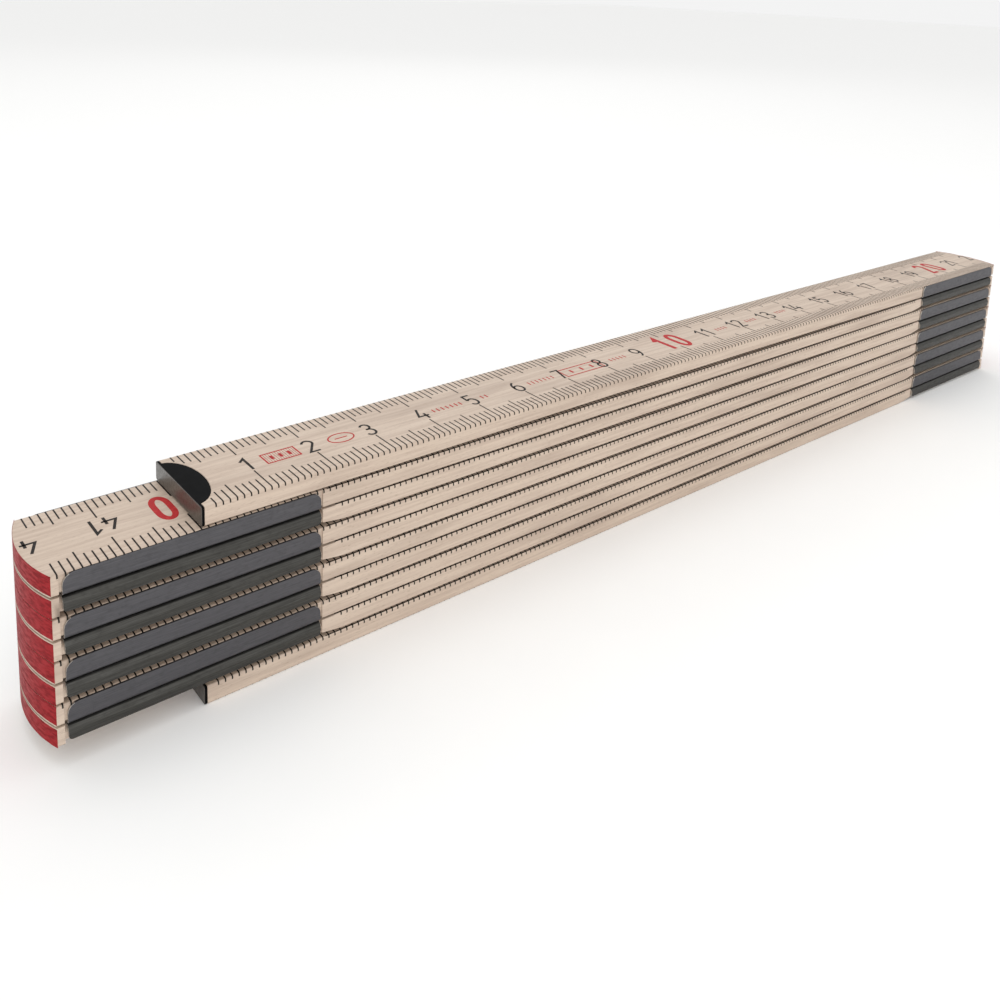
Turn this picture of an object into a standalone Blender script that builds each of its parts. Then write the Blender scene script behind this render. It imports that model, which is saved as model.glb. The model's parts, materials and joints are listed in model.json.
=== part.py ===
"""Two metre wooden folding rule, folded flat: ten limbs on nine spring-plate joints.

Metres, +Z up. The wide faces of the limbs are level, the stack stands on the last limb,
and every hinge axis is vertical. The numbered start of the rule is at -X.
"""
import math

import bmesh
import bpy
from mathutils import Matrix, Vector

# Driving dimensions
LIMB_COUNT = 10
PIVOT_SPAN = 0.200           # distance between the two pivots of a limb
LIMB_WIDTH = 0.016
LIMB_THICKNESS = 0.00275
END_RADIUS = 0.0204
EDGE_CHAMFER = 0.00025
GAP_RIGHT = 0.0002           # between two limbs that are joined at the right end
GAP_LEFT = 0.0001            # between two limbs that are joined at the left end
JOINT_DROP = 0.00015         # the joint plane lies this far below the middle of that gap

PLATE_HALF_LENGTH = 0.0175
PLATE_SHEET = 0.00035        # spring steel sheet
UPPER_FLANGE = 0.00278       # web face to the tip of the flange, plate above the joint plane
LOWER_FLANGE = 0.0020        # the same for the plate below it
UPPER_BEND = 0.0005          # outer bend radius between web and flange
LOWER_BEND = 0.001
PLATE_PROUD = 0.0002         # how far the flange stands out of the limb's side
UPPER_CORNER = 0.0014        # rounded corners of the side flanges
LOWER_CORNER = 0.0005
WEB_CLEARANCE = 0.00004      # web face to the joint plane
FIT_CLEARANCE = 0.00004      # steel to wood
NOTCH = 0.00035              # open slot between the wood and the ends of a plate
RELIEF_DEPTH = 0.00006       # the lower limb's top is milled this far below the joint plane
RELIEF_REACH = 0.0199        # from the pivot into the limb, clear of the turning upper plate
RAMP_LENGTH = 0.0046         # run-out of the milled underside below a lower plate

PIVOT_RADIUS = 0.0019
PIVOT_HOLE_RADIUS = 0.0021
HEAD_RADIUS = 0.0034
HEAD_HEIGHT = 0.0006
HEAD_LIFT = 0.00006          # upper head to the web below it
WASHER_INNER = 0.0022
WASHER_OUTER = 0.0036
WASHER_SHEET = 0.0002
WASHER_CONE = 0.0001         # height of the cone of the spring washer
POCKET_RADIUS = 0.0041
POCKET_FLOOR = 0.00015       # air left over a rivet head

CAP_SHEET = 0.0004
CAP_TAB_DEPTH = 0.0037
CAP_TAB_HALF_WIDTH = 0.0069

ROUND_SEGMENTS = 24
ARC_SEGMENTS = 20
BEND_SEGMENTS = 4
SMOOTH_ANGLE = math.radians(35)
CUT_OVERSHOOT = 0.002
SAME_PLACE = 1e-7            # two points nearer than this are one

# Sizes that follow from them
HALF_SPAN = PIVOT_SPAN / 2
HALF_WIDTH = LIMB_WIDTH / 2
FLANGE_OUTER = HALF_WIDTH + PLATE_PROUD
FLANGE_INNER = FLANGE_OUTER - PLATE_SHEET
WEB_TOP = WEB_CLEARANCE + PLATE_SHEET
WASHER_HEIGHT = WASHER_SHEET + WASHER_CONE
UPPER_HEAD_BASE = WEB_TOP + HEAD_LIFT
LOWER_HEAD_BASE = WEB_TOP + HEAD_LIFT + WASHER_HEIGHT + HEAD_LIFT
POCKET_DEPTH = LOWER_HEAD_BASE + HEAD_HEIGHT + POCKET_FLOOR

FINISHES = {
    "limewood": ((0.62, 0.50, 0.38), 0.55, 0.0),
    "spring_steel": ((0.12, 0.12, 0.125), 0.42, 0.9),
    "rivet_steel": ((0.45, 0.45, 0.46), 0.35, 1.0),
    "cap_steel": ((0.03, 0.03, 0.035), 0.4, 0.7),
}


def clear_scene():
    for item in list(bpy.data.objects):
        bpy.data.objects.remove(item, do_unlink=True)


def make_material(name):
    colour, roughness, metallic = FINISHES[name]
    material = bpy.data.materials.new(name)
    material.use_nodes = True
    shader = material.node_tree.nodes["Principled BSDF"]
    shader.inputs["Base Color"].default_value = (*colour, 1.0)
    shader.inputs["Roughness"].default_value = roughness
    shader.inputs["Metallic"].default_value = metallic
    material.diffuse_color = (*colour, 1.0)
    return material


def add_object(name, bm, material, origin=Vector()):
    """Links the mesh, which is given in world coordinates, with its origin moved."""
    bmesh.ops.recalc_face_normals(bm, faces=bm.faces)
    bmesh.ops.translate(bm, verts=bm.verts, vec=-origin)
    mesh = bpy.data.meshes.new(name)
    bm.to_mesh(mesh)
    bm.free()
    mesh.materials.append(material)
    made = bpy.data.objects.new(name, mesh)
    made.location = origin
    bpy.context.scene.collection.objects.link(made)
    return made


def add_steel(name, bm, material, origin):
    """Adds a pressed or turned part whose rounds are shaded smooth."""
    made = add_object(name, bm, material, origin)
    made.data.shade_smooth()
    made.data.set_sharp_from_angle(angle=SMOOTH_ANGLE)
    return made


def extruded(outline, vector):
    """A closed solid from a flat outline swept along a vector."""
    bm = bmesh.new()
    face = bm.faces.new([bm.verts.new(point) for point in outline])
    swept = bmesh.ops.extrude_face_region(bm, geom=[face])
    moved = [item for item in swept["geom"] if isinstance(item, bmesh.types.BMVert)]
    bmesh.ops.translate(bm, verts=moved, vec=vector)
    bmesh.ops.recalc_face_normals(bm, faces=bm.faces)
    return bm


def arc(centre_x, centre_y, radius, start, stop, steps):
    """Points on an arc, both ends included, as (x, y) pairs. Angles in radians."""
    turn = (stop - start) / steps
    return [
        (centre_x + radius * math.cos(start + turn * i), centre_y + radius * math.sin(start + turn * i))
        for i in range(steps + 1)
    ]


def turned(profile, segments):
    """A closed solid of revolution about Z from (radius, z) points, axis points included."""
    bm = bmesh.new()
    verts = [bm.verts.new((radius, 0.0, z)) for radius, z in profile]
    edges = [bm.edges.new(pair) for pair in zip(verts, verts[1:])]
    if profile[0][0] > 0:    # a ring's profile is closed
        edges.append(bm.edges.new((verts[-1], verts[0])))
    bmesh.ops.spin(
        bm, geom=verts + edges, cent=(0, 0, 0), axis=(0, 0, 1), angle=math.tau, steps=segments
    )
    bmesh.ops.remove_doubles(bm, verts=bm.verts, dist=SAME_PLACE)
    bmesh.ops.recalc_face_normals(bm, faces=bm.faces)
    return bm


def helper_object(name, bm):
    mesh = bpy.data.meshes.new(name)
    bm.to_mesh(mesh)
    bm.free()
    helper = bpy.data.objects.new(name, mesh)
    helper.hide_render = True
    helper.display_type = "WIRE"
    bpy.context.scene.collection.objects.link(helper)
    return helper


def combined(bm, tools, operation):
    """Applies closed tool meshes to a solid one after another with exact Booleans."""
    blank = helper_object("blank", bm)
    helpers = [helper_object("cutter", tool) for tool in tools]
    for helper in helpers:
        step = blank.modifiers.new(operation.lower(), "BOOLEAN")
        step.object = helper
        step.operation = operation
        step.solver = "EXACT"
    result = bmesh.new()
    result.from_object(blank, bpy.context.evaluated_depsgraph_get())
    for item in [blank, *helpers]:
        bpy.data.objects.remove(item, do_unlink=True)
    return result


def joined_at_right(upper):
    """Limb `upper` and the one below it share the right pivot when the number is odd."""
    return upper % 2 == 1


def gap_below(upper):
    return GAP_RIGHT if joined_at_right(upper) else GAP_LEFT


def limb_base(number):
    """Height of the underside of a limb. The last limb lies on the surface."""
    height = 0.0
    for lower in range(LIMB_COUNT, number, -1):
        height += LIMB_THICKNESS + gap_below(lower - 1)
    return height


def joint_centre(upper):
    """The point of the hinge axis that lies on the joint plane."""
    x = HALF_SPAN if joined_at_right(upper) else -HALF_SPAN
    return Vector((x, 0.0, limb_base(upper) - gap_below(upper) / 2 - JOINT_DROP))


def limb_origin(number):
    """A limb turns about the joint with the limb below it."""
    return joint_centre(number) if number < LIMB_COUNT else Vector((HALF_SPAN, 0.0, 0.0))


def limb_outline(left_jointed):
    """Plan outline: an arc about the pivot at a jointed end, a square cut at a free one."""
    sweep = math.asin(HALF_WIDTH / END_RADIUS)
    right = arc(HALF_SPAN, 0.0, END_RADIUS, -sweep, sweep, ARC_SEGMENTS)
    if left_jointed:
        left = arc(-HALF_SPAN, 0.0, END_RADIUS, math.pi - sweep, math.pi + sweep, ARC_SEGMENTS)
    else:
        free_end = -HALF_SPAN + CAP_SHEET + FIT_CLEARANCE
        left = [(free_end, HALF_WIDTH), (free_end, -HALF_WIDTH)]
    return [(x, y, 0.0) for x, y in right + left]


def limb_blank(number, left_jointed):
    bm = extruded(limb_outline(left_jointed), (0, 0, LIMB_THICKNESS))
    long_edges = [
        edge for edge in bm.edges
        if abs(edge.verts[0].co.x - edge.verts[1].co.x) > HALF_SPAN
    ]
    bmesh.ops.bevel(
        bm, geom=long_edges, offset=EDGE_CHAMFER, offset_type="OFFSET",
        segments=2, profile=0.5, affect="EDGES", clamp_overlap=True,
    )
    bmesh.ops.translate(bm, verts=bm.verts, vec=(0, 0, limb_base(number)))
    return bm


def plate_bed(flange, bend):
    """Cutters for a joint plate and its rivet head. The joint plane is at 0, the wood above it."""
    half = PLATE_HALF_LENGTH + NOTCH
    bed_top = WEB_TOP + FIT_CLEARANCE
    flange_top = WEB_CLEARANCE + flange + FIT_CLEARANCE
    bed_wall = FLANGE_INNER - FIT_CLEARANCE
    reach = HALF_WIDTH + CUT_OVERSHOOT
    start = -CUT_OVERSHOOT
    bend_cut = bend - PLATE_SHEET
    right_side = [
        (reach, start), (reach, flange_top), (bed_wall, flange_top),
        (bed_wall, bed_top + bend_cut), (bed_wall - bend_cut, bed_top),
    ]
    left_side = [(-y, z) for y, z in reversed(right_side)]
    bed = extruded([(-half, y, z) for y, z in right_side + left_side], (2 * half, 0, 0))
    pocket = bmesh.new()
    depth = POCKET_DEPTH - start
    bmesh.ops.create_cone(
        pocket, cap_ends=True, segments=ROUND_SEGMENTS, radius1=POCKET_RADIUS,
        radius2=POCKET_RADIUS, depth=depth, matrix=Matrix.Translation((0, 0, start + depth / 2)),
    )
    return [bed, pocket]


def milled_faces(outward, far_face):
    """Cutters for the two milled faces of a lower limb: its top at the joint, and its underside."""
    reach = HALF_WIDTH + CUT_OVERSHOOT
    half = PLATE_HALF_LENGTH + NOTCH
    level = WEB_CLEARANCE + LOWER_FLANGE
    past = far_face + CUT_OVERSHOOT
    top = [
        (-outward * RELIEF_REACH, -CUT_OVERSHOOT), (outward * (END_RADIUS + CUT_OVERSHOOT), -CUT_OVERSHOOT),
        (outward * (END_RADIUS + CUT_OVERSHOOT), RELIEF_DEPTH), (-outward * RELIEF_REACH, RELIEF_DEPTH),
    ]
    underside = [
        (outward * half, past), (outward * half, level), (-outward * half, level),
        (-outward * (half + RAMP_LENGTH), far_face), (-outward * (half + RAMP_LENGTH), past),
    ]
    return [extruded([(x, -reach, z) for x, z in side], (0, 2 * reach, 0)) for side in (top, underside)]


def upper_limb_cutters(upper):
    """What the joint below a limb takes out of its wood."""
    cutters = plate_bed(UPPER_FLANGE, UPPER_BEND)
    for cutter in cutters:
        bmesh.ops.translate(cutter, verts=cutter.verts, vec=joint_centre(upper))
    return cutters


def lower_limb_cutters(upper):
    """What the joint above a limb takes out of its wood."""
    centre = joint_centre(upper)
    far_face = centre.z - limb_base(upper + 1)
    cutters = plate_bed(LOWER_FLANGE, LOWER_BEND)
    cutters += milled_faces(math.copysign(1.0, centre.x), far_face)
    for cutter in cutters:
        bmesh.ops.rotate(cutter, verts=cutter.verts, matrix=Matrix.Rotation(math.pi, 3, "X"))
        bmesh.ops.translate(cutter, verts=cutter.verts, vec=centre)
    return cutters


def tab_outline(grow):
    """Half-moon of the end cap, its straight side on the cut end of the limb."""
    start = -HALF_SPAN
    half_width = CAP_TAB_HALF_WIDTH + grow
    depth = CAP_TAB_DEPTH + grow
    steps = ARC_SEGMENTS
    points = []
    for i in range(steps + 1):
        angle = math.pi / 2 - math.pi * i / steps
        points.append((start + depth * math.cos(angle), half_width * math.sin(angle)))
    return points


def cap_recess(base):
    """Cutters for the two half-moon tabs of the end cap."""
    cutters = []
    for level in (base - CUT_OVERSHOOT, base + LIMB_THICKNESS - CAP_SHEET - FIT_CLEARANCE):
        outline = [(x, y, level) for x, y in tab_outline(FIT_CLEARANCE)]
        height = CUT_OVERSHOOT + CAP_SHEET + FIT_CLEARANCE
        cutters.append(extruded(outline, (0, 0, height)))
    return cutters


def make_limb(number, material):
    left_jointed = 1 < number < LIMB_COUNT
    bm = limb_blank(number, left_jointed)
    cutters = []
    if number < LIMB_COUNT:
        cutters += upper_limb_cutters(number)
    if number > 1:
        cutters += lower_limb_cutters(number - 1)
    if not left_jointed:
        cutters += cap_recess(limb_base(number))
    limb = combined(bm, cutters, "DIFFERENCE")
    return add_object(f"limb_{number}", limb, material, limb_origin(number))


def plate_solid(flange, bend, corner):
    """One U-shaped spring plate, web face on +WEB_CLEARANCE, flanges pointing up."""
    tip = WEB_CLEARANCE + flange
    bend_y = FLANGE_OUTER - bend
    bend_z = WEB_CLEARANCE + bend
    outer = arc(bend_y, bend_z, bend, -math.pi / 2, 0.0, BEND_SEGMENTS)
    inner = arc(bend_y, bend_z, bend - PLATE_SHEET, 0.0, -math.pi / 2, BEND_SEGMENTS)
    half = [*outer, (FLANGE_OUTER, tip), (FLANGE_INNER, tip), *inner]
    mirrored = [(-y, z) for y, z in reversed(half)]
    start = -PLATE_HALF_LENGTH
    outline = [(start, y, z) for y, z in half + mirrored]
    bm = extruded(outline, (2 * PLATE_HALF_LENGTH, 0, 0))
    corners = [
        edge for edge in bm.edges
        if all(abs(vert.co.z - tip) < SAME_PLACE for vert in edge.verts)
        and abs(edge.verts[0].co.x - edge.verts[1].co.x) < SAME_PLACE
    ]
    bmesh.ops.bevel(
        bm, geom=corners, offset=corner, offset_type="OFFSET",
        segments=BEND_SEGMENTS, profile=0.5, affect="EDGES", clamp_overlap=True,
    )
    drill = bmesh.new()
    bmesh.ops.create_cone(
        drill, cap_ends=True, segments=ROUND_SEGMENTS, radius1=PIVOT_HOLE_RADIUS,
        radius2=PIVOT_HOLE_RADIUS, depth=2 * CUT_OVERSHOOT,
    )
    return combined(bm, [drill], "DIFFERENCE")


def make_plate(name, centre, side, origin, material):
    if side > 0:
        bm = plate_solid(UPPER_FLANGE, UPPER_BEND, UPPER_CORNER)
    else:
        bm = plate_solid(LOWER_FLANGE, LOWER_BEND, LOWER_CORNER)
    if side < 0:
        bmesh.ops.rotate(bm, verts=bm.verts, matrix=Matrix.Rotation(math.pi, 3, "X"))
    bmesh.ops.translate(bm, verts=bm.verts, vec=centre)
    return add_steel(name, bm, material, origin)


def make_rivet(name, centre, origin, material):
    """Solid pivot with a head in each limb, drawn tight on the spring washer."""
    top = UPPER_HEAD_BASE + HEAD_HEIGHT
    bottom = -LOWER_HEAD_BASE - HEAD_HEIGHT
    crown = HEAD_HEIGHT / 3
    bm = turned(
        [
            (0.0, top), (HEAD_RADIUS - crown, top), (HEAD_RADIUS, top - crown),
            (HEAD_RADIUS, UPPER_HEAD_BASE), (PIVOT_RADIUS, UPPER_HEAD_BASE),
            (PIVOT_RADIUS, -LOWER_HEAD_BASE), (HEAD_RADIUS, -LOWER_HEAD_BASE),
            (HEAD_RADIUS, bottom + crown), (HEAD_RADIUS - crown, bottom), (0.0, bottom),
        ],
        ROUND_SEGMENTS,
    )
    bmesh.ops.translate(bm, verts=bm.verts, vec=centre)
    return add_steel(name, bm, material, origin)


def make_washer(name, centre, origin, material):
    """Cone washer between the lower web and the lower rivet head."""
    outer_top = -WEB_TOP - HEAD_LIFT
    inner_top = outer_top - WASHER_CONE
    bm = turned(
        [
            (WASHER_INNER, inner_top), (WASHER_OUTER, outer_top),
            (WASHER_OUTER, outer_top - WASHER_SHEET), (WASHER_INNER, inner_top - WASHER_SHEET),
        ],
        ROUND_SEGMENTS,
    )
    bmesh.ops.translate(bm, verts=bm.verts, vec=centre)
    return add_steel(name, bm, material, origin)


def make_cap(name, number, material):
    """Clip over the cut end of an outer limb: an end wall with a half-moon tab on each face."""
    base = limb_base(number)
    wall = [
        (-HALF_SPAN, -HALF_WIDTH, base), (-HALF_SPAN, HALF_WIDTH, base),
        (-HALF_SPAN, HALF_WIDTH, base + LIMB_THICKNESS),
        (-HALF_SPAN, -HALF_WIDTH, base + LIMB_THICKNESS),
    ]
    solid = extruded(wall, (CAP_SHEET, 0, 0))
    upright = [
        edge for edge in solid.edges
        if abs(edge.verts[0].co.x - edge.verts[1].co.x) > CAP_SHEET / 2
    ]
    bmesh.ops.bevel(
        solid, geom=upright, offset=EDGE_CHAMFER, offset_type="OFFSET", segments=2,
        profile=0.5, affect="EDGES", clamp_overlap=True,
    )
    tabs = [
        extruded([(x, y, level) for x, y in tab_outline(0.0)], (0, 0, CAP_SHEET))
        for level in (base, base + LIMB_THICKNESS - CAP_SHEET)
    ]
    cap = combined(solid, tabs, "UNION")
    return add_object(name, cap, material, limb_origin(number))


def build():
    clear_scene()
    materials = {name: make_material(name) for name in FINISHES}
    limbs = {}
    for number in range(1, LIMB_COUNT + 1):
        limbs[number] = make_limb(number, materials["limewood"])

    parts_of = {number: [] for number in limbs}
    for upper in range(1, LIMB_COUNT):
        lower = upper + 1
        centre = joint_centre(upper)
        up, low = limb_origin(upper), limb_origin(lower)
        steel = materials["spring_steel"]
        rivet = materials["rivet_steel"]
        parts_of[upper] += [
            make_plate(f"joint_{upper}_upper_plate", centre, 1, up, steel),
            make_rivet(f"joint_{upper}_rivet", centre, up, rivet),
            make_washer(f"joint_{upper}_spring_washer", centre, up, rivet),
        ]
        parts_of[lower].append(make_plate(f"joint_{upper}_lower_plate", centre, -1, low, steel))
    parts_of[1].append(make_cap("start_cap", 1, materials["cap_steel"]))
    parts_of[LIMB_COUNT].append(make_cap("finish_cap", LIMB_COUNT, materials["cap_steel"]))

    for number, parts in parts_of.items():
        for part in parts:
            part.parent = limbs[number]
            part.location = (0, 0, 0)
    for number in range(1, LIMB_COUNT):
        limbs[number].parent = limbs[number + 1]
        limbs[number].location = limb_origin(number) - limb_origin(number + 1)


build()
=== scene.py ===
import json
import math

import bmesh
import bpy
from mathutils import Matrix, Vector, noise


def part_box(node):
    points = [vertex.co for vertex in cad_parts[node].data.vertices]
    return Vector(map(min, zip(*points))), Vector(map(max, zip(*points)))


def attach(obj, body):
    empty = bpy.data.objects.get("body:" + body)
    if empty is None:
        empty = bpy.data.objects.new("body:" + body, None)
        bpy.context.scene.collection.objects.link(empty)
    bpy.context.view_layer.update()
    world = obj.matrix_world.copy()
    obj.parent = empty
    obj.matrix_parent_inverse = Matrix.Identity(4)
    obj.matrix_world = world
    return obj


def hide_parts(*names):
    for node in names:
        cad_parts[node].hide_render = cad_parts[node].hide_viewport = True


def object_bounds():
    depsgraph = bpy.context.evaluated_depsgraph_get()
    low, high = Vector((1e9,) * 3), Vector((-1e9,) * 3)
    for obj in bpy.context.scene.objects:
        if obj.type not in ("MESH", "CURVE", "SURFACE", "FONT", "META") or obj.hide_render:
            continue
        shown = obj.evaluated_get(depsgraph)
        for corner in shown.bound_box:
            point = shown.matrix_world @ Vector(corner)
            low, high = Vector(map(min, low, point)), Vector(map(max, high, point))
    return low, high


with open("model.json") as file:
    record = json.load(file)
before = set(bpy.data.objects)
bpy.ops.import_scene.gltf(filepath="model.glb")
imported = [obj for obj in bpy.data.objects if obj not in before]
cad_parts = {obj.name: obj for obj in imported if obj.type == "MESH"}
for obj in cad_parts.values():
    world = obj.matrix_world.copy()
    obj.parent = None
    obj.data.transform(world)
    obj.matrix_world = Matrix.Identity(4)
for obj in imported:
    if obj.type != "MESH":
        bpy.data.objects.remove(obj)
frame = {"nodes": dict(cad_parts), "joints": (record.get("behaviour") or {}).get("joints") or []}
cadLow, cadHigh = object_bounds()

mm = 0.001
scene = bpy.context.scene
limbCount = sum(name.startswith("limb_") for name in frame["nodes"])
limbBox = {n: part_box(f"limb_{n}") for n in range(1, limbCount + 1)}
jointAt = {n + 1: Vector(joint["pos_m"]) for n, joint in enumerate(frame["joints"])}
halfSpan = abs(jointAt[1].x)
halfWidth = limbBox[1][1].y
endRadius = limbBox[2][1].x - halfSpan          # a jointed end is an arc about its pivot
print(f"frame: {limbCount} limbs, {len(jointAt)} joints, pivots {2 * halfSpan / mm:.0f} mm apart")


def linear(colour):    # sRGB hex to linear RGBA
    parts = [int(colour[i:i + 2], 16) / 255 for i in (0, 2, 4)]
    return (*[c / 12.92 if c <= 0.04045 else ((c + 0.055) / 1.055) ** 2.4 for c in parts], 1.0)


def addNode(tree, kind, sockets, **settings):    # a socket's value is a number, a colour or a link
    node = tree.nodes.new("ShaderNode" + kind)
    for name, value in settings.items():
        setattr(node, name, value)
    for name, value in sockets.items():
        if isinstance(value, bpy.types.NodeSocket):
            tree.links.new(value, node.inputs[name])
        else:
            node.inputs[name].default_value = value
    return node


def newMaterial(name, **sockets):
    material = bpy.data.materials.new(name)
    material.use_nodes = True
    tree = material.node_tree
    shader = tree.nodes["Principled BSDF"]
    for socket, value in sockets.items():
        shader.inputs[socket.replace("_", " ")].default_value = value
    return material, tree, shader


def streaks(tree, size, detail=3.0, rough=0.55):    # noise with features of size mm on X, Y, Z
    where = addNode(tree, "TexCoord", {})
    scaled = addNode(tree, "Mapping", {
        "Vector": where.outputs["Object"], "Scale": [1 / (side * mm) for side in size],
    })
    grains = addNode(tree, "TexNoise", {
        "Vector": scaled.outputs[0], "Scale": 1.0, "Detail": detail, "Roughness": rough,
    })
    return grains.outputs["Fac"]


def spread(tree, value, low, high, toLow=0.0, toHigh=1.0):
    return addNode(tree, "MapRange", {
        0: value, 1: low, 2: high, 3: toLow, 4: toHigh,
    }, interpolation_type="SMOOTHSTEP").outputs[0]


def blendColours(tree, amount, first, second):    # a colour is sRGB hex or a link
    first, second = [linear(c) if isinstance(c, str) else c for c in (first, second)]
    sockets = {0: amount, 6: first, 7: second}
    return addNode(tree, "Mix", sockets, data_type="RGBA", blend_type="MIX").outputs[2]


def roughen(tree, shader, value, limits):    # roughness follows the noise between two limits
    tree.links.new(spread(tree, value, 0.3, 0.7, *limits), shader.inputs["Roughness"])


def bumped(tree, shader, height, strength, distance):
    bump = addNode(tree, "Bump", {"Height": height, "Strength": strength, "Distance": distance})
    tree.links.new(bump.outputs[0], shader.inputs["Normal"])


woodLook = {
    # edge is a painted shade colour for the gaps between limbs, not a colour of the wood
    "pale": "cab7a5", "warm": "bca897", "pore": "927e6c", "cloud": "ab9787", "edge": "2a211b",
    "grain": (14.0, 0.6, 0.45),       # mm: a year ring's streak, along, across and through
    "pores": (0.9, 0.12, 0.12),       # mm: vessels cut lengthwise
    "clouds": (22.0, 5.0, 3.1),       # mm: broad changes of tone
    "grainSpan": (0.35, 0.68),        # noise values between which a tone comes in
    "cloudSpan": (0.48, 0.72, 0.0, 0.55),    # and how strongly it does
    "poreSpan": (0.58, 0.78, 0.0, 0.6),
    # the next span gives the noise values over which the painted gap shade comes in
    "shadeNoiseSpan": (0.5, 0.75),
    "roughness": (0.46, 0.6),
}


def limewoodMaterial():    # limewood, planed and clear-lacquered: pale, even, with fine pores
    material, tree, shader = newMaterial(
        "lacqueredLimewood", Coat_Weight=0.12, Coat_Roughness=0.35)
    grain = streaks(tree, woodLook["grain"], 4.0)
    pores = streaks(tree, woodLook["pores"], 2.0)
    clouds = streaks(tree, woodLook["clouds"], 2.0)
    rings = spread(tree, grain, *woodLook["grainSpan"])
    tone = blendColours(tree, rings, woodLook["pale"], woodLook["warm"])
    patches = spread(tree, clouds, *woodLook["cloudSpan"])
    tone = blendColours(tree, patches, tone, woodLook["cloud"])
    vessels = spread(tree, pores, *woodLook["poreSpan"])
    tone = blendColours(tree, vessels, tone, woodLook["pore"])
    tree.links.new(tone, shader.inputs["Base Color"])
    roughen(tree, shader, grain, woodLook["roughness"])
    bumped(tree, shader, pores, 0.25, 0.03 * mm)
    return material


paintLook = {
    "red": "9a1019", "deep": "7a0a12", "worn": "ad4048",
    "strokes": (1.2, 1.2, 0.35),      # mm: marks of the roller that inks the folded ends
    "flecks": (0.5, 0.5, 0.22),       # mm: thin places
    "strokeSpan": (0.38, 0.66),
    "fleckSpan": (0.68, 0.8, 0.0, 0.8),
    "specular": 0.12,
    "roughness": (0.42, 0.6),
}


def endPaintMaterial():    # red lacquer rolled on end grain: streaky, half glossy, thin in places
    material, tree, shader = newMaterial("rolledRedLacquer")
    shader.inputs["Specular IOR Level"].default_value = paintLook["specular"]
    strokes = streaks(tree, paintLook["strokes"], 4.0)
    flecks = streaks(tree, paintLook["flecks"], 3.0)
    depth = spread(tree, strokes, *paintLook["strokeSpan"])
    tone = blendColours(tree, depth, paintLook["red"], paintLook["deep"])
    wear = spread(tree, flecks, *paintLook["fleckSpan"])
    tone = blendColours(tree, wear, tone, paintLook["worn"])
    tree.links.new(tone, shader.inputs["Base Color"])
    roughen(tree, shader, strokes, paintLook["roughness"])
    bumped(tree, shader, strokes, 0.35, 0.05 * mm)
    return material


inkLook = {
    "black": ("17120f", "2e2620"), "blackPatch": (0.5, 0.5, 0.5),    # colours, then patches in mm
    "red": ("ac2024", "bd3a37"), "redPatch": (0.6, 0.6, 0.6),
    "patchSpan": (0.45, 0.75), "specular": 0.25, "roughness": (0.5, 0.7),
}


def inkMaterial(name, colours, size):    # pad-printed ink: flat, slightly broken by the grain
    material, tree, shader = newMaterial(name)
    shader.inputs["Specular IOR Level"].default_value = inkLook["specular"]
    patches = streaks(tree, size, 2.0)
    tone = blendColours(tree, spread(tree, patches, *inkLook["patchSpan"]), *colours)
    tree.links.new(tone, shader.inputs["Base Color"])
    roughen(tree, shader, patches, inkLook["roughness"])
    bumped(tree, shader, patches, 0.1, 0.01 * mm)
    return material


steelLook = {
    # the lower plates' colours are the same steel as the upper's, made darker as painted shade
    # under the plate above
    "upper": ("616063", "575659", "4a494a"), "lower": ("53524f", "454441", "353432"),
    # cap: the black cap's end face as a lighter grey metal, a painted reflection
    # edge: bare cut metal, made lighter still as a painted highlight rim on the plates' ends
    "edge": ("dcd9d4", "c4c0bb", "9a9793"), "cap": ("7a7774", "65625f", "504d4a"),
    "rivet": ("b8b6b2", "9a9894", "7d7a76"),
    "rolling": (5.0, 0.1, 0.1),       # mm: rolling marks along the strip
    "mottle": (0.9, 0.6, 0.5),        # mm: uneven burnish
    "rollingSpan": (0.35, 0.65),
    "mottleSpan": (0.5, 0.8, 0.0, 0.35),
    "roughness": (0.4, 0.52), "edgeRoughness": (0.4, 0.55),
    "rivetRoughness": (0.28, 0.4), "capRoughness": (0.3, 0.45),
}


def steelMaterial(name, colours, roughness):    # burnished strip, semi-matt
    bright, dark, stain = colours
    material, tree, shader = newMaterial(name, Metallic=1.0)
    rolling = streaks(tree, steelLook["rolling"], 3.0)
    mottle = streaks(tree, steelLook["mottle"], 4.0, 0.6)
    tone = blendColours(tree, spread(tree, rolling, *steelLook["rollingSpan"]), bright, dark)
    tone = blendColours(tree, spread(tree, mottle, *steelLook["mottleSpan"]), tone, stain)
    tree.links.new(tone, shader.inputs["Base Color"])
    roughen(tree, shader, mottle, roughness)
    bumped(tree, shader, rolling, 0.2, 0.01 * mm)
    return material


capLook = {
    "dark": "070708", "light": "121213",
    "mottle": (1.1, 1.1, 1.1),        # mm: uneven oxide
    "mottleSpan": (0.4, 0.75), "specular": 0.02, "roughness": (0.28, 0.42),
}


def capMaterial():    # thin sheet steel, black oxide and oil: near black, with a soft gloss
    material, tree, shader = newMaterial("blackOxideSheet")
    shader.inputs["Specular IOR Level"].default_value = capLook["specular"]
    mottle = streaks(tree, capLook["mottle"], 4.0)
    cover = spread(tree, mottle, *capLook["mottleSpan"])
    tone = blendColours(tree, cover, capLook["dark"], capLook["light"])
    tree.links.new(tone, shader.inputs["Base Color"])
    roughen(tree, shader, mottle, capLook["roughness"])
    bumped(tree, shader, mottle, 0.15, 0.03 * mm)
    return material


def handledEdgeMaterial():    # painted shade: the rounded edges that face the next limb, darkened with noise to stand for the shadow in the narrow gap between limbs
    material, tree, shader = newMaterial("paintedGapShade", Roughness=0.7)
    shader.inputs["Specular IOR Level"].default_value = 0.1
    shadeNoise = streaks(tree, woodLook["pores"], 3.0)
    shadeAmount = spread(tree, shadeNoise, *woodLook["shadeNoiseSpan"])
    tone = blendColours(tree, shadeAmount, woodLook["edge"], woodLook["pore"])
    tree.links.new(tone, shader.inputs["Base Color"])
    bumped(tree, shader, shadeNoise, 0.2, 0.02 * mm)
    return material


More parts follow.
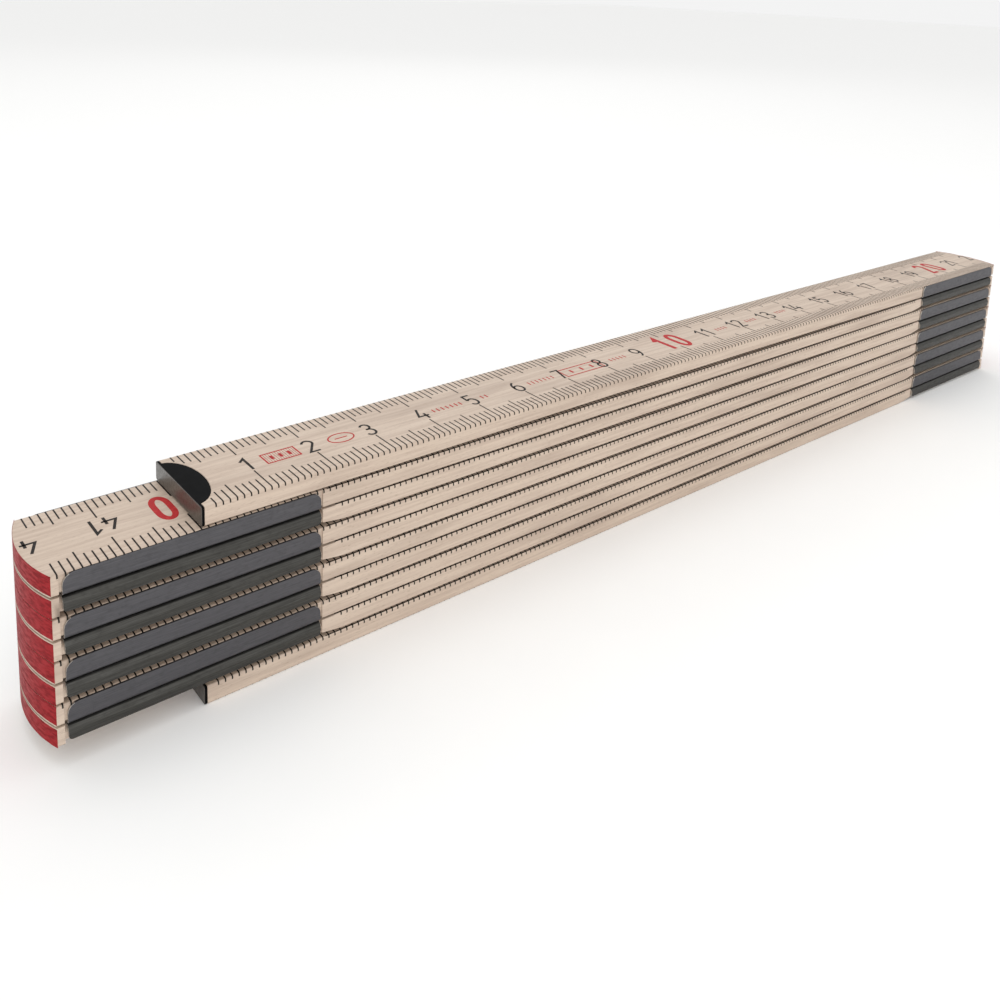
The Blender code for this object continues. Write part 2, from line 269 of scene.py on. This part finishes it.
limewood = limewoodMaterial()
# a dark painted shade for the gaps between limbs
paintedGapShade = handledEdgeMaterial()
redLacquer = endPaintMaterial()
blackInk = inkMaterial("blackPrintingInk", inkLook["black"], inkLook["blackPatch"])
redInk = inkMaterial("redPrintingInk", inkLook["red"], inkLook["redPatch"])
upperSteel = steelMaterial("burnishedSpringSteel", steelLook["upper"], steelLook["roughness"])
# the lower plates' steel, darker than the upper plates' as painted shade
lowerSteelShaded = steelMaterial("springSteelPaintedShade", steelLook["lower"], steelLook["roughness"])
# the sheared ends: bare metal, lightened further as a painted highlight rim
cutEdgeHighlight = steelMaterial("shearedEdgePaintedHighlight", steelLook["edge"], steelLook["edgeRoughness"])
rivetSteel = steelMaterial("turnedRivetSteel", steelLook["rivet"], steelLook["rivetRoughness"])
capSteel = capMaterial()
# the black cap's end face, a lighter metal as painted reflection
capEndReflection = steelMaterial("capEndPaintedReflection", steelLook["cap"], steelLook["capRoughness"])
print("materials: limewood, lacquer, inks and steels made")


def finishPiece(name, bm, materials, body, cornerAngle=50.0):
    mesh = bpy.data.meshes.new(name)
    bm.to_mesh(mesh)
    bm.free()
    for material in materials:
        mesh.materials.append(material)
    mesh.shade_smooth()
    mesh.set_sharp_from_angle(angle=math.radians(cornerAngle))
    piece = bpy.data.objects.new(name, mesh)
    scene.collection.objects.link(piece)
    weighted = piece.modifiers.new("faceNormals", "WEIGHTED_NORMAL")
    weighted.keep_sharp = True
    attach(piece, body)
    return piece


def mergedCopy(node):    # the CAD node's triangles as clean flat faces
    bm = bmesh.new()
    bm.from_mesh(frame["nodes"][node].data)
    bmesh.ops.remove_doubles(bm, verts=bm.verts, dist=0.001 * mm)
    bmesh.ops.dissolve_limit(bm, angle_limit=math.radians(0.5), verts=bm.verts, edges=bm.edges)
    return bm


limbShape = {
    "stations": 17,                   # lengths of a limb between its joints, which lets it bend
    "bare": 81.5 * mm,                # from its middle to where the plates begin
    "bendReach": 92 * mm,             # a limb is bent within this distance of its middle
    "gape": {                         # mm, opened below each limb
        1: 0.34, 2: 0.16, 3: 0.26, 4: 0.12, 5: 0.18, 6: 0.12, 7: 0.24, 8: 0.1, 9: 0.2,
    },
    "wander": 0.1,                    # unevenness of that, as a share
    "wave": 23 * mm,                  # length of that unevenness
}


def faceShift(number, side, x):    # how far a limb's face bends away from its neighbour's
    gape = limbShape["gape"].get(number - 1 if side > 0 else number, 0.0) * mm
    share = max(0.0, 1 - (x / limbShape["bendReach"]) ** 2) ** 2
    wave = noise.noise(Vector((x / limbShape["wave"], number * 3.7, 0.0)))
    return -side * gape / 2 * share * (1 + limbShape["wander"] * wave)


def cutAcross(bm, place, direction):    # adds a line of edges where a plane meets the mesh
    bmesh.ops.bisect_plane(
        bm, geom=[*bm.verts, *bm.edges, *bm.faces], dist=0.0001 * mm,
        plane_co=place, plane_no=direction,
    )


def makeLimb(number):
    low, high = limbBox[number]
    bm = mergedCopy(f"limb_{number}")
    for i in range(limbShape["stations"] + 1):
        x = limbShape["bare"] * (2 * i / limbShape["stations"] - 1)
        cutAcross(bm, (x, 0, 0), (1, 0, 0))
    middle = (low.z + high.z) / 2
    bm.normal_update()
    # rounded edge faces that face a neighbouring limb take the second material, the painted gap
    # shade
    for face in bm.faces:
        inner = number > 1 if face.normal.z > 0 else number < limbCount
        sloped = 0.8 < abs(face.normal.z) < 0.99 and abs(face.normal.x) < 0.1
        between = abs(face.calc_center_median().x) < limbShape["bare"]
        face.material_index = 1 if inner and sloped and between else 0
    for vert in bm.verts:
        side = 1 if vert.co.z > middle else -1
        vert.co.z += faceShift(number, side, vert.co.x)
    materials = [limewood, paintedGapShade]
    piece = finishPiece(f"wood_{number}", bm, materials, f"limb_{number}_body")
    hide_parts(f"limb_{number}")


for number in limbBox:
    makeLimb(number)
print("limbs: planed and slightly hollow wood in place")


plateShape = {
    "edgeRadius": 0.05 * mm,
    "flange": 0.3 * mm,               # the outermost part of a plate, which is folded
    "fold": [                         # mm down, mm out
        (0.0, -0.16), (0.3, 0.0), (0.95, 0.1), (1.15, 0.1), (2.1, -0.12),
    ],
}
capShape = {"edgeRadius": 0.1 * mm}


def foldFlanges(bm, top):    # a lower plate's flanges are pressed into two flats
    for down, _ in plateShape["fold"][1:-1]:
        cutAcross(bm, (0, 0, top - down * mm), (0, 0, 1))
    fold = plateShape["fold"]
    for vert in bm.verts:
        depth = (top - vert.co.z) / mm
        for (upper, first), (lower, last) in zip(fold, fold[1:]):
            if upper <= depth <= lower and abs(vert.co.y) > halfWidth - plateShape["flange"]:
                out = first + (last - first) * (depth - upper) / (lower - upper)
                vert.co.y += math.copysign(out * mm, vert.co.y)
                break


def isCutEdge(face, low, high):    # the sheared ends and tips of a plate
    middle = face.calc_center_median()
    atEnd = min(middle.x - low.x, high.x - middle.x) < plateShape["edgeRadius"] * 2
    facesEnd = abs(face.normal.x) > 0.3 and abs(face.normal.y) < 0.8
    return facesEnd and (atEnd or abs(face.normal.x) < 0.98)


def roundSharpEdges(bm, radius, segments):
    sharp = [
        edge for edge in bm.edges
        if edge.is_manifold and edge.calc_face_angle() > math.radians(60)
    ]
    bmesh.ops.bevel(
        bm, geom=sharp, offset=radius, offset_type="OFFSET", segments=segments,
        profile=0.5, affect="EDGES", clamp_overlap=True, material=-1,
    )
    bm.normal_update()


def makePlate(node, body, steel):
    low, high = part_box(node)
    bm = mergedCopy(node)
    if steel == lowerSteelShaded:
        foldFlanges(bm, high.z)
    roundSharpEdges(bm, plateShape["edgeRadius"], 2)
    # the sheared ends and tips take the light edge steel, a painted highlight rim
    for face in bm.faces:
        face.material_index = 1 if isCutEdge(face, low, high) else 0
    piece = finishPiece(f"{node}_pressed", bm, [steel, cutEdgeHighlight], body, 40.0)
    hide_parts(node)


def makeCap(node, body):
    bm = mergedCopy(node)
    roundSharpEdges(bm, capShape["edgeRadius"], 3)
    for face in bm.faces:
        face.material_index = 1 if face.normal.x < -0.7 else 0    # the end face, a lighter metal as painted reflection
    piece = finishPiece(f"{node}_pressed", bm, [capSteel, capEndReflection], body, 40.0)
    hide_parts(node)


for upper in jointAt:
    makePlate(f"joint_{upper}_upper_plate", f"limb_{upper}_body", upperSteel)
    makePlate(f"joint_{upper}_lower_plate", f"limb_{upper + 1}_body", lowerSteelShaded)
    for name in (f"joint_{upper}_rivet", f"joint_{upper}_spring_washer"):
        mesh = frame["nodes"][name].data
        mesh.materials.clear()
        mesh.materials.append(rivetSteel)
makeCap("start_cap", "limb_1_body")
makeCap("finish_cap", f"limb_{limbCount}_body")
print("joints: plates and caps pressed, rivets turned")


filmShape = {
    "thickness": 0.03 * mm,
    "bare": 0.2 * mm,                 # wood left free along the joint plane
    "kept": -0.05 * mm,               # the film builds up a little over the other edge
    "ragged": 0.05 * mm,              # how far its edges wander
    "wave": 0.9 * mm,                 # length of that
    "steps": 40,
}


def makeEndPaint(number):
    low, high = limbBox[number]
    sweep = math.asin(halfWidth / endRadius)
    bm = bmesh.new()
    for outward in (-1, 1):
        joints = [n for n in (number - 1, number) if n in jointAt and jointAt[n].x * outward > 0]
        if not joints:
            continue
        joint = joints[0]
        pivot = jointAt[joint]
        above = joint == number    # this limb is the upper one of the joint
        bottom = low.z + filmShape["bare" if above else "kept"]
        top = high.z - filmShape["kept" if above else "bare"]
        if not above:
            top = pivot.z - filmShape["bare"]
        angle = -sweep if outward > 0 else math.pi - sweep
        radius = endRadius + filmShape["thickness"] / 2
        corner = Vector((pivot.x + radius * math.cos(angle), radius * math.sin(angle), 0.0))
        levels = [bottom, (bottom + top) / 2, top]
        verts = [bm.verts.new(corner + Vector((0, 0, level))) for level in levels]
        edges = [bm.edges.new(pair) for pair in zip(verts, verts[1:])]
        bmesh.ops.spin(
            bm, geom=verts + edges, cent=(pivot.x, 0, 0), axis=(0, 0, 1), angle=2 * sweep,
            steps=filmShape["steps"], use_merge=False,
        )
    middle = (low.z + high.z) / 2
    for vert in bm.verts:
        if abs(vert.co.z - middle) > 0.3 * (high.z - low.z):
            vert.co.z += filmShape["ragged"] * noise.noise(vert.co / filmShape["wave"])
    bmesh.ops.recalc_face_normals(bm, faces=bm.faces)
    bmesh.ops.solidify(bm, geom=bm.faces, thickness=filmShape["thickness"])
    bmesh.ops.recalc_face_normals(bm, faces=bm.faces)
    finishPiece(f"end_paint_{number}", bm, [redLacquer], f"limb_{number}_body")


for number in limbBox:
    makeEndPaint(number)
print("end paint: rolled on the jointed ends")


scaleLook = {
    "tick": 0.2 * mm, "short": 3.0 * mm, "middle": 4.0 * mm,
    "nearLong": 5.5 * mm, "farLong": 4.7 * mm,
    "film": 0.02 * mm,                # ink stands this much proud of its bed
    "sunk": 0.008 * mm,
    "edgeRound": 0.25 * mm,           # the limb's rounded edge, which the ticks run over
    "drop": 0.5 * mm,                 # and down its side to here
    "figure": 3.65 * mm, "figureWide": 0.92, "figureStroke": 0.38 * mm,
    "figureBase": -2.05 * mm, "figurePitch": 2.05 * mm, "figureRoom": 2.6 * mm,
    "tens": 6.1 * mm, "tensWide": 0.7, "tensStroke": 0.85 * mm,
    "tensBase": -3.0 * mm, "tensPitch": 4.1 * mm, "tensRoom": 4.6 * mm,
    "lastTick": 118.5 * mm,           # from the middle of the limb
    "lastFigure": 120.1 * mm,
    "capTick": 1.2 * mm,              # the first tick past a free end
    "capFigure": 9 * mm,              # the first figure past it
    "tabReach": (3.95 * mm, 7.1 * mm),    # a cap's tab and the bare rim round it
    "tabRoom": 0.15 * mm,             # between that and a tick
    "plateRoom": 0.22 * mm,           # between a plate's tip and a tick
}


def bow(x, y, halfX, halfY, start, stop, steps=12):    # points on an ellipse, angles in degrees
    angles = [math.radians(start + (stop - start) * i / steps) for i in range(steps + 1)]
    return [(x + halfX * math.cos(a), y + halfY * math.sin(a)) for a in angles]


def figureStrokes(figure):    # centre lines of a figure one unit high and about half a unit wide
    half = 0.235
    return {
        "0": [bow(0, 0.68, half, 0.32, 0, 180) + bow(0, 0.32, half, 0.32, 180, 360)
              + [(half, 0.68)]],
        "1": [[(-0.19, 0.77), (0.05, 1.0), (0.05, 0.0)]],
        "2": [bow(0, 0.76, half, 0.24, 165, -25) + [(-half, 0.0), (half, 0.0)]],
        "3": [bow(0, 0.765, half * 0.9, 0.235, 155, -90) + [(-0.08, 0.53)],
              [(-0.08, 0.531)] + bow(0, 0.265, half, 0.265, 90, -155)],
        "4": [[(0.04, 1.0), (-0.27, 0.3), (0.29, 0.3)], [(0.13, 0.52), (0.13, 0.0)]],
        "5": [[(0.2, 1.0), (-0.18, 1.0), (-0.2, 0.53)], bow(0, 0.31, half, 0.31, 145, -150)],
        "6": [bow(0, 0.3, half, 0.3, 0, 360, 20), bow(0.25, 0.32, 0.485, 0.7, 180, 110, 8)],
        "7": [[(-half, 1.0), (half, 1.0), (-0.07, 0.0)]],
        "8": [bow(0, 0.765, half * 0.85, 0.235, 0, 360, 18), bow(0, 0.27, half, 0.27, 0, 360, 20)],
        "9": [bow(0, 0.7, half, 0.3, 0, 360, 20), bow(-0.25, 0.68, 0.485, 0.7, 0, -70, 8)],
    }[figure]


def strokeMesh(strokes, stroke, film):    # a centre line becomes a flat, square-ended line of ink
    bm = bmesh.new()
    for points in strokes:
        closed = (Vector(points[0]) - Vector(points[-1])).length < 0.02 * mm
        if closed:
            points = points[:-1]
        verts = [bm.verts.new((x, y, 0.0)) for x, y in points]
        pairs = list(zip(verts, verts[1:])) + ([(verts[-1], verts[0])] if closed else [])
        edges = [bm.edges.new(pair) for pair in pairs]
        raised = bmesh.ops.extrude_edge_only(bm, edges=edges)["geom"]
        moved = [item for item in raised if isinstance(item, bmesh.types.BMVert)]
        bmesh.ops.translate(bm, verts=moved, vec=(0, 0, film))
    wall = bpy.data.meshes.new("wall")
    bm.to_mesh(wall)
    bm.free()
    holder = bpy.data.objects.new("wall", wall)
    scene.collection.objects.link(holder)
    thick = holder.modifiers.new("stroke", "SOLIDIFY")
    thick.thickness = stroke
    thick.offset = 0.0
    thick.use_even_offset = True
    evaluated = holder.evaluated_get(bpy.context.evaluated_depsgraph_get())
    made = bpy.data.meshes.new_from_object(evaluated)
    bpy.data.objects.remove(holder, do_unlink=True)
    return made


def sized(figure, kind):
    high, wide = scaleLook[kind], scaleLook[kind + "Wide"]
    return [[(x * high * wide, y * high) for x, y in points] for points in figureStrokes(figure)]


filmDepth = scaleLook["film"] + scaleLook["sunk"]
figureMesh = {
    (figure, kind): strokeMesh(sized(figure, kind), scaleLook[kind + "Stroke"], filmDepth)
    for figure in "0123456789" for kind in ("figure", "tens")
}


def stamp(bm, mesh, u, v):    # adds a flat mesh to the sheet of ink, its origin at u, v
    before = len(bm.verts)
    bm.from_mesh(mesh)
    bm.verts.ensure_lookup_table()
    bmesh.ops.translate(bm, verts=bm.verts[before:], vec=(u, v, -scaleLook["sunk"]))


def stampNumber(bm, number, u, kind):
    text = str(number)
    step = scaleLook[kind + "Pitch"]
    for i, figure in enumerate(text):
        place = u + (i - (len(text) - 1) / 2) * step
        if abs(place) + step / 2 < halfSpan + endRadius:    # a figure off the wood is lost
            stamp(bm, figureMesh[figure, kind], place, scaleLook[kind + "Base"])


def addTick(bm, u, edge, length, drop, start=0.0):    # a line from the limb's edge inwards
    rounded = scaleLook["edgeRound"]
    lift = scaleLook["film"]
    diagonal = rounded * (1 - math.sqrt(0.5))
    reach = halfWidth - start
    path = [(reach - length, lift), (reach - rounded, lift)]
    if drop is None:
        path[1] = (reach, lift)
    else:
        path.append((reach - diagonal + lift * 0.7, lift * 0.7 - diagonal))
    if drop:
        path += [(reach + lift, -rounded), (reach + lift, -drop)]
    grid = bmesh.ops.create_grid(bm, x_segments=1, y_segments=len(path) - 1, size=0.5)["verts"]
    rows = sorted({round(vert.co.y, 4) for vert in grid})
    for vert in grid:
        v, w = path[rows.index(round(vert.co.y, 4))]
        vert.co = Vector((u + vert.co.x * scaleLook["tick"], edge * v, w))


bedShape = {
    "milledReach": 20.3,              # mm from the pivot: the top, cleared for the plate above
    "plateReach": 18.2,               # mm from the pivot: the underside, with the upper plate
    "beyond": 130 * mm,               # past any limb's end
    "notch": 0.35 * mm,               # beside a lower plate
    "ramp": 4.6 * mm,                 # run-out of the milled underside
}


def jointZones(number, side):    # stretches of a face taken up by a joint, (from, to) in world x
    if side > 0 and number > 1:
        pivot, reach = jointAt[number - 1].x, bedShape["milledReach"]
    elif side < 0 and number < limbCount:
        pivot, reach = jointAt[number].x, bedShape["plateReach"]
    else:
        return []
    outward = math.copysign(1, pivot)
    return [tuple(sorted((pivot - outward * reach * mm, outward * bedShape["beyond"])))]


def milledZone(number):    # where the underside is milled level with the lower plate's tips
    plateLow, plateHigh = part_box(f"joint_{number - 1}_lower_plate")
    return plateLow.x - bedShape["notch"], plateHigh.x + bedShape["notch"], plateLow.z


milledZones = {number: milledZone(number) for number in limbBox if number > 1}


def faceLevel(number, side, x):
    low, high = limbBox[number]
    level = (high.z if side > 0 else low.z) + faceShift(number, side, x)
    if side < 0 and number in milledZones:
        left, right, milled = milledZones[number]
        ramp = bedShape["ramp"]
        outside = max(left - x, x - right, 0.0)
        inward = x < left if jointAt[number - 1].x > 0 else x > right
        if outside == 0.0:
            level = milled
        elif inward and outside < ramp:
            level = milled + (level - milled) * outside / ramp
    return level


def faceTurn(number, side):    # (world x per u, world y per v), for the reading direction
    if side > 0:
        return (1, 1) if number % 2 else (-1, -1)
    return (1, -1) if number % 2 == 0 else (-1, 1)


def layOnFace(bm, number, side):
    alongX, alongY = faceTurn(number, side)
    for vert in bm.verts:
        u, v, w = vert.co
        x, y = alongX * u, alongY * v
        vert.co = Vector((x, y, faceLevel(number, side, x) + side * w))


def capDepthAt(x):    # half width of the end cap's tab at this place
    depth, halfTab = scaleLook["tabReach"]
    distance = x + halfSpan
    if distance >= depth:
        return 0.0
    return halfTab * math.sqrt(max(0.0, 1 - (distance / depth) ** 2))


def printFace(number, side):
    black, red = bmesh.new(), bmesh.new()
    alongX, _ = faceTurn(number, side)
    zones = jointZones(number, side)
    first = 200 * (number - 1 if side > 0 else limbCount - number)
    freeEnd = number in (1, limbCount)
    milled = milledZones.get(number) if side < 0 else None
    for count in range(-120, 121):
        u = count * mm
        x = alongX * u
        value = first + 100 + count
        inZone = any(start < x < stop for start, stop in zones)
        if inZone or abs(x) > scaleLook["lastTick"]:
            continue
        if freeEnd and x < -halfSpan + scaleLook["capTick"]:
            continue
        inPlate = milled is not None and milled[0] < x < milled[1]
        for edge in (-1, 1):
            length = scaleLook["short"]
            if value % 10 == 0:
                length = scaleLook["nearLong" if edge < 0 else "farLong"]
            elif value % 5 == 0:
                length = scaleLook["middle"]
            if freeEnd:
                length = min(length, halfWidth - capDepthAt(x) - scaleLook["tabRoom"])
            if inPlate:
                addTick(black, u, edge, length, None, scaleLook["plateRoom"])
            else:
                addTick(black, u, edge, length, scaleLook["drop"] if side > 0 else 0.0)
    bmesh.ops.recalc_face_normals(black, faces=black.faces)
    for face in black.faces:
        if face.normal.z < -0.1:
            face.normal_flip()
    bmesh.ops.solidify(black, geom=black.faces, thickness=filmDepth)
    for centimetre in range(first // 10 - 2, first // 10 + 23):
        u = (centimetre * 10 - first - 100) * mm
        x = alongX * u
        kind, sheet = ("figure", black) if centimetre % 10 else ("tens", red)
        clear = scaleLook[kind + "Room"]
        blocked = any(start - clear < x < stop + clear for start, stop in zones)
        nearCap = freeEnd and x < -halfSpan + scaleLook["capFigure"]
        if not blocked and abs(x) <= scaleLook["lastFigure"] and not nearCap:
            stampNumber(sheet, centimetre, u, kind)
    return black, red


markShapes = {    # plain shapes on the first limb, mm from its free end: middle, width, height
    "panels": [(15.2, 5.2, 2.9), (75.3, 9.2, 3.0)],
    "ovals": [(25.2, 4.2, 2.9)],
    "bars": [(45.0, 6.6), (52.7, 2.6), (65.4, 6.6), (84.6, 4.6),
             (115.0, 4.2), (124.8, 3.6), (135.2, 4.4)],
    "centre": -0.3, "outline": 0.22, "hatch": 0.04, "hatchStep": 0.36, "bold": 0.45,
    "barStep": 0.9, "barHalf": 0.55, "hatchedBelow": 6,
}


def boxLine(x, y, width, height):
    w, h = width / 2, height / 2
    corners = [(x - w, y - h), (x + w, y - h), (x + w, y + h), (x - w, y + h)]
    return [*corners, (x - w, y - h)]


def markStrokes():
    y = markShapes["centre"]
    outlines, hatching, bold = [], [], []
    for x, width, high in markShapes["panels"]:
        outlines.append(boxLine(x, y, width, high))
        count = int(width / markShapes["hatchStep"])
        hatched = width < markShapes["hatchedBelow"]    # only the short panel
        for i in range(1, count if hatched else 0):
            at = x - width / 2 + width * i / count
            hatching.append([(at, y - high / 2), (at, y + high / 2)])
        for share in (-0.27, 0.0, 0.27):
            at = x + share * width
            bold.append([(at, y - high * 0.2), (at, y + high * 0.2)])
    for x, width, high in markShapes["ovals"]:
        outlines.append(bow(x, y, width / 2, high / 2, 0, 360, 28))
        outlines.append([(x - width / 4, y), (x + width / 4, y)])
    for x, width in markShapes["bars"]:
        step, half = markShapes["barStep"], markShapes["barHalf"]
        count = int(width / step)
        for i in range(count):
            at = x + (i - (count - 1) / 2) * step
            outlines.append([(at, y - half), (at, y + half)])
    return {"outline": outlines, "hatch": hatching, "bold": bold}


def inMetres(strokes):    # mm from the free end become metres from the limb's middle
    return [[((x - 100) * mm, y * mm) for x, y in points] for points in strokes]


def addMarks(bm):
    for kind, strokes in markStrokes().items():
        stamp(bm, strokeMesh(inMetres(strokes), markShapes[kind] * mm, filmDepth), 0.0, 0.0)


def addToSheet(sheet, part):
    carrier = bpy.data.meshes.new("carrier")
    part.to_mesh(carrier)
    part.free()
    sheet.from_mesh(carrier)
    bpy.data.meshes.remove(carrier)


for number in limbBox:
    blackSheet, redSheet = bmesh.new(), bmesh.new()
    for side in (1, -1):
        black, red = printFace(number, side)
        if side == 1 and number == 1:
            addMarks(red)
        for part, sheet in ((black, blackSheet), (red, redSheet)):
            layOnFace(part, number, side)
            addToSheet(sheet, part)
    body = f"limb_{number}_body"
    finishPiece(f"graduation_{number}", blackSheet, [blackInk], body, 30.0)
    finishPiece(f"tens_{number}", redSheet, [redInk], body, 30.0)
print("print: graduations and figures on both faces of every limb")


cameraPlace = {
    "from": (-148.43, -124.76, 97.26),            # mm
    "to": (135.53, 219.28, 15.0),
    "roll": 2.23,                                 # degrees
    "lens": 36.44, "sensor": 36.0,                # mm
    "shift": -0.33,                               # keeps the upright edges parallel
}


def makeCamera():
    data = bpy.data.cameras.new("camera")
    data.lens = cameraPlace["lens"]
    data.sensor_width = cameraPlace["sensor"]
    data.shift_y = cameraPlace["shift"]
    data.clip_start, data.clip_end = 0.005, 20.0
    camera = bpy.data.objects.new("camera", data)
    place = Vector(cameraPlace["from"]) * mm
    aim = Vector(cameraPlace["to"]) * mm - place
    turn = aim.to_track_quat("-Z", "Y").to_matrix().to_4x4()
    camera.matrix_world = Matrix.Translation(place) @ turn @ Matrix.Rotation(
        math.radians(cameraPlace["roll"]), 4, "Z")
    scene.collection.objects.link(camera)
    scene.camera = camera


studio = {
    "floor": "fbfbfa", "floorWorn": "fdfdfc", "floorHalf": 4.0,    # the last in m
    "fibres": (9.0, 9.0, 9.0),        # mm
    "sky": 0.9,
    "lamps": {    # place in m, size in m, watts: all aim at the middle of the stack
        "key": ((-0.1, 0.1, 0.8), 0.5, 0.9),
        "fill": ((-0.3, -0.8, 0.35), 0.6, 1.9),
        "back": ((0.5, 0.7, 0.6), 0.5, 0.4),
    },
}


def makeFloor():
    bm = bmesh.new()
    bmesh.ops.create_grid(bm, x_segments=8, y_segments=8, size=studio["floorHalf"])
    mesh = bpy.data.meshes.new("floor")
    bm.to_mesh(mesh)
    bm.free()
    floor = bpy.data.objects.new("floor", mesh)
    material, tree, shader = newMaterial("paperFloor", Roughness=0.9)
    shader.inputs["Specular IOR Level"].default_value = 0.1
    fibres = streaks(tree, studio["fibres"], 3.0)
    share = spread(tree, fibres, 0.3, 0.7, 0.0, 0.3)
    tone = blendColours(tree, share, studio["floor"], studio["floorWorn"])
    tree.links.new(tone, shader.inputs["Base Color"])
    mesh.materials.append(material)
    scene.collection.objects.link(floor)


def makeLights():
    middle = Vector((0, 0, cadHigh.z / 2))
    for name, (place, size, watts) in studio["lamps"].items():
        data = bpy.data.lights.new(name, "AREA")
        data.size = size
        data.energy = watts
        lamp = bpy.data.objects.new(name, data)
        lamp.location = place
        lamp.rotation_euler = (middle - Vector(place)).to_track_quat("-Z", "Y").to_euler()
        scene.collection.objects.link(lamp)
    world = bpy.data.worlds.new("studio")
    world.use_nodes = True
    background = world.node_tree.nodes["Background"]
    background.inputs["Color"].default_value = (1, 1, 1, 1)
    background.inputs["Strength"].default_value = studio["sky"]
    scene.world = world
    scene.view_settings.view_transform = "Standard"


makeCamera()
makeFloor()
makeLights()
print("studio: camera, floor and lights set")
